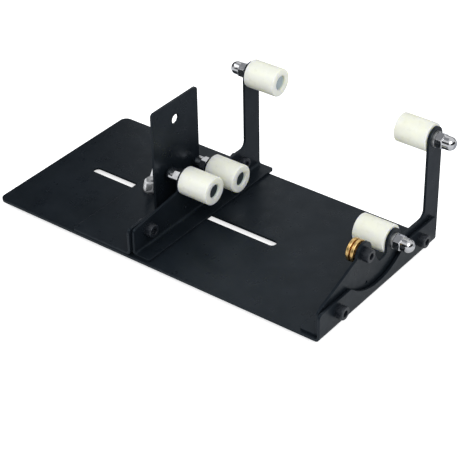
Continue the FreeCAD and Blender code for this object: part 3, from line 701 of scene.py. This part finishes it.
def see_white(tree, rest_output, target):
    """Show white to the camera, reflections and glass, and the given shader to all other rays."""
    path = tree.nodes.new("ShaderNodeLightPath")
    seen = path.outputs["Is Camera Ray"]
    for other in ("Is Glossy Ray", "Is Transmission Ray"):
        join = tree.nodes.new("ShaderNodeMath")
        join.operation = "MAXIMUM"
        tree.links.new(seen, join.inputs[0])
        tree.links.new(path.outputs[other], join.inputs[1])
        seen = join.outputs["Value"]
    white = tree.nodes.new("ShaderNodeBackground")
    white.inputs["Color"].default_value = WHITE
    white.inputs["Strength"].default_value = 1.0
    mix = tree.nodes.new("ShaderNodeMixShader")
    tree.links.new(seen, mix.inputs["Fac"])
    tree.links.new(rest_output, mix.inputs[1])
    tree.links.new(white.outputs["Background"], mix.inputs[2])
    tree.links.new(mix.outputs["Shader"], target)


def studio_world():
    """Pale even surroundings."""
    world = bpy.data.worlds.new("studio")
    bpy.context.scene.world = world
    world.use_nodes = True
    tree = world.node_tree
    soft = tree.nodes["Background"]
    soft.inputs["Color"].default_value = WORLD_TONE
    soft.inputs["Strength"].default_value = WORLD_STRENGTH
    see_white(tree, soft.outputs["Background"], tree.nodes["World Output"].inputs["Surface"])


def matt(name, tone):
    """A plain matt look for a sheet of the set."""
    look = Look(name)
    look.set("Base Color", tone)
    look.set("Roughness", MATT)
    return look


def stage_sheet(name, look, corners):
    """A flat sheet of the set, which is no part of the object."""
    mesh = bpy.data.meshes.new(name)
    mesh.from_pydata(corners, [], [(0, 1, 2, 3)])
    mesh.materials.append(look.material)
    sheet = bpy.data.objects.new(name, mesh)
    bpy.context.scene.collection.objects.link(sheet)
    return sheet


def level_corners(first, second, height):
    """The four corners of a level sheet between two opposite ones."""
    low_x, low_y = first
    high_x, high_y = second
    return [(x, y, height) for x, y in ((low_x, low_y), (high_x, low_y), (high_x, high_y), (low_x, high_y))]


def studio_floor():
    """Plain near-white table top."""
    look = matt("pale_floor", FLOOR_TONE)
    look.set("Specular IOR Level", 0.0)
    look.set("Emission Color", WHITE)
    seen = look.node("ShaderNodeLightPath").outputs["Is Camera Ray"]
    glow = look.spread(seen, low=0.0, high=FLOOR_GLOW, start=0.0, end=1.0)
    look.link(glow, look.shader.inputs["Emission Strength"])
    corners = level_corners((-FLOOR_REACH, -FLOOR_REACH), (FLOOR_REACH, FLOOR_REACH), 0.0)
    stage_sheet("studio_floor", look, corners)


def soft_box(name, place, size, power):
    """A square soft light aimed at the object."""
    light = bpy.data.lights.new(name, "AREA")
    light.shape = "SQUARE"
    light.size = size
    light.energy = power
    lamp = bpy.data.objects.new(name, light)
    bpy.context.scene.collection.objects.link(lamp)
    aim = (LIGHT_TARGET - place).to_track_quat("-Z", "Y")
    lamp.matrix_world = Matrix.Translation(place) @ aim.to_matrix().to_4x4()


def card(name, look, corners):
    """A matt card beside or over the set, for bright metal to reflect."""
    sheet = stage_sheet(name, look, corners)
    sheet.visible_camera = False
    sheet.visible_diffuse = False
    sheet.visible_shadow = False


def studio_cards():
    """All the cards, with one look for each tone."""
    looks = {name: matt(name, tone) for name, tone in CARD_TONES.items()}
    for name, (tone, start, end, low, high) in UPRIGHT_CARDS.items():
        card(name, looks[tone], [(*start, low), (*end, low), (*end, high), (*start, high)])
    for name, (tone, first, second, height) in LEVEL_CARDS.items():
        card(name, looks[tone], level_corners(first, second, height))


def photo_camera():
    """Camera at the photograph's viewpoint."""
    level_reach = math.cos(CAMERA_ELEVATION)
    back = Vector((math.sin(CAMERA_AZIMUTH) * level_reach, -math.cos(CAMERA_AZIMUTH) * level_reach,
                   math.sin(CAMERA_ELEVATION)))
    level = Z_AXIS.cross(back).normalized()
    upright = back.cross(level)
    right = level * math.cos(CAMERA_ROLL) + upright * math.sin(CAMERA_ROLL)
    up = upright * math.cos(CAMERA_ROLL) - level * math.sin(CAMERA_ROLL)
    camera = bpy.data.cameras.new("photo_camera")
    camera.sensor_width = CAMERA_SENSOR
    camera.lens = CAMERA_LENS
    camera.clip_end = CAMERA_REACH
    eye = bpy.data.objects.new("photo_camera", camera)
    bpy.context.scene.collection.objects.link(eye)
    turn = Matrix((right, up, back)).transposed().to_4x4()
    eye.matrix_world = Matrix.Translation(CAMERA_PLACE) @ turn
    bpy.context.scene.camera = eye


studio_world()
studio_floor()
for light_name, (place, size, power) in SOFT_BOXES.items():
    soft_box(light_name, place, size, power)
studio_cards()
photo_camera()
bpy.context.scene.view_settings.view_transform = "Standard"
